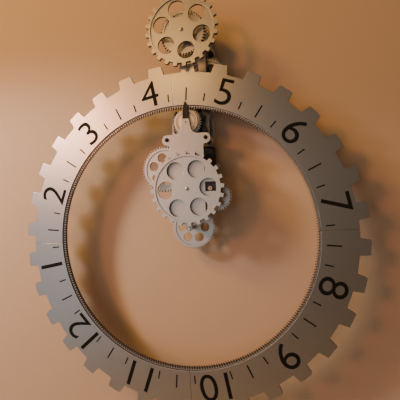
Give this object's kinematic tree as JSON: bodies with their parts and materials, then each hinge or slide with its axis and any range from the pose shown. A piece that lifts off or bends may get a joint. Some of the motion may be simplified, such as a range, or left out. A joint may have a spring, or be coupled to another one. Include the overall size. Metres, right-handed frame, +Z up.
{
  "type": "revolving wall clock",
  "caption": "Wall clock whose large toothed hour ring hangs on a small drive pinion and turns past a fixed pointer, with open gear trains inside and above it.",
  "frame": {"origin": "point on the wall plane, at the back face of the wall plate, behind the axis of the drive pinion", "axes": "+Z up, +Y into the wall, so the clock stands out towards -Y, and +X to the right as seen from the front"},
  "size_m": [0.5598, 0.0706, 0.667],
  "materials": {
    "satin_face": "satin",
    "satin_gear": "satin",
    "pale_plate": "satin",
    "steel": "satin",
    "dark_metal": "satin",
    "black_plastic": "matte",
    "black_metal": "satin",
    "brass": "satin",
    "cell_sleeve": "gloss"
  },
  "bodies": {
    "frame": {"wall_plate": "pale_plate", "movement_case": "black_plastic", "rear_plate": "pale_plate", "ear_standoff_left": "dark_metal", "ear_standoff_right": "dark_metal", "motion_case": "black_plastic", "front_plate": "satin_face", "ear_screw_left": "black_metal", "ear_screw_right": "black_metal", "pointer": "black_metal", "left_stud": "steel", "right_stud": "steel", "bottom_stud": "steel", "side_stud": "steel", "spine_channel": "dark_metal", "spine_bridge": "pale_plate", "top_bracket": "pale_plate", "bracket_knob": "black_metal", "battery_box": "black_plastic", "motor_housing": "black_plastic", "cell_upper": "cell_sleeve", "cell_lower": "cell_sleeve", "lower_motor": "dark_metal", "upper_motor": "dark_metal", "lower_bushing": "brass", "hinge_pin": "steel", "switch_body": "black_plastic"},
    "hour_ring": {"face_q1": "satin_face", "face_q2": "satin_face", "face_q3": "satin_face", "face_q4": "satin_face", "gear_ring": "steel"},
    "drive_pinion": {"drive_pinion": "steel", "rear_flange": "black_plastic"},
    "minute_arbor": {"minute_arbor": "steel", "minute_disc": "pale_plate"},
    "cross_arbor": {"cross_arbor": "steel"},
    "lower_train": {"lower_arbor": "steel", "lower_coarse_gear": "satin_gear", "lower_hub_screw": "steel", "left_drive_pinion": "steel", "right_drive_pinion": "steel", "bottom_drive_wheel": "steel"},
    "left_gear": {"left_gear": "satin_gear"},
    "right_gear": {"right_gear": "satin_gear"},
    "bottom_gear": {"bottom_gear": "satin_gear"},
    "lower_motor_pinion": {"lower_motor_pinion": "brass"},
    "top_train": {"top_arbor": "steel", "top_coarse_gear": "satin_gear", "top_fine_gear": "satin_gear", "top_rear_wheel": "steel", "top_hub_screw": "steel"},
    "side_gear": {"side_gear": "satin_gear"},
    "upper_motor_pinion": {"upper_motor_pinion": "brass"},
    "battery_door": {"battery_door": "black_plastic"},
    "switch_knob": {"switch_knob": "black_plastic"}
  },
  "joints": [
    {"name": "ring_spin", "type": "hinge", "parent": "frame", "child": "hour_ring", "pos_m": [0, -0.05, -0.18576], "axis": [0, -1, 0], "continuous": true},
    {"name": "drive_pinion_spin", "type": "hinge", "parent": "frame", "child": "drive_pinion", "pos_m": [0, -0.048, 0], "axis": [0, -1, 0], "continuous": true},
    {"name": "minute_arbor_spin", "type": "hinge", "parent": "frame", "child": "minute_arbor", "pos_m": [0, -0.03, 0], "axis": [0, -1, 0], "continuous": true},
    {"name": "cross_arbor_spin", "type": "hinge", "parent": "frame", "child": "cross_arbor", "pos_m": [0.00106, -0.03, -0.01396], "axis": [0, -1, 0], "continuous": true},
    {"name": "lower_arbor_spin", "type": "hinge", "parent": "frame", "child": "lower_train", "pos_m": [0.00822, -0.04, -0.10809], "axis": [0, -1, 0], "continuous": true},
    {"name": "left_gear_spin", "type": "hinge", "parent": "frame", "child": "left_gear", "pos_m": [-0.03243, -0.055, -0.07729], "axis": [0, -1, 0], "continuous": true},
    {"name": "right_gear_spin", "type": "hinge", "parent": "frame", "child": "right_gear", "pos_m": [0.05206, -0.046, -0.11825], "axis": [0, -1, 0], "continuous": true},
    {"name": "bottom_gear_spin", "type": "hinge", "parent": "frame", "child": "bottom_gear", "pos_m": [0.013, -0.026, -0.17091], "axis": [0, -1, 0], "continuous": true},
    {"name": "lower_motor_spin", "type": "hinge", "parent": "frame", "child": "lower_motor_pinion", "pos_m": [-0.02137, -0.026, -0.08268], "axis": [0, -1, 0], "continuous": true},
    {"name": "top_arbor_spin", "type": "hinge", "parent": "frame", "child": "top_train", "pos_m": [-0.01087, -0.04, 0.14289], "axis": [0, -1, 0], "continuous": true},
    {"name": "side_gear_spin", "type": "hinge", "parent": "frame", "child": "side_gear", "pos_m": [0.02697, -0.026, 0.07813], "axis": [0, -1, 0], "continuous": true},
    {"name": "upper_motor_spin", "type": "hinge", "parent": "frame", "child": "upper_motor_pinion", "pos_m": [0.00522, -0.026, 0.03535], "axis": [0, -1, 0], "continuous": true},
    {"name": "battery_door_hinge", "type": "hinge", "parent": "frame", "child": "battery_door", "pos_m": [0.04545, -0.012, -0.06614], "axis": [0, 1, 0], "range_deg": [0, 100]},
    {"name": "switch_turn", "type": "hinge", "parent": "frame", "child": "switch_knob", "pos_m": [0.04448, -0.062, -0.10613], "axis": [0, -1, 0], "range_deg": [0, 90]}
  ],
  "couplings": [
    {"joint": "drive_pinion_spin", "follows": "ring_spin", "ratio": 9},
    {"joint": "cross_arbor_spin", "follows": "ring_spin", "ratio": -9},
    {"joint": "minute_arbor_spin", "follows": "ring_spin", "ratio": 12},
    {"joint": "left_gear_spin", "follows": "lower_arbor_spin", "ratio": -0.41667},
    {"joint": "right_gear_spin", "follows": "lower_arbor_spin", "ratio": -0.875},
    {"joint": "bottom_gear_spin", "follows": "lower_arbor_spin", "ratio": -0.75},
    {"joint": "lower_motor_spin", "follows": "lower_arbor_spin", "ratio": -2.25},
    {"joint": "side_gear_spin", "follows": "top_arbor_spin", "ratio": -1.0833},
    {"joint": "upper_motor_spin", "follows": "top_arbor_spin", "ratio": 3.25}
  ]
}
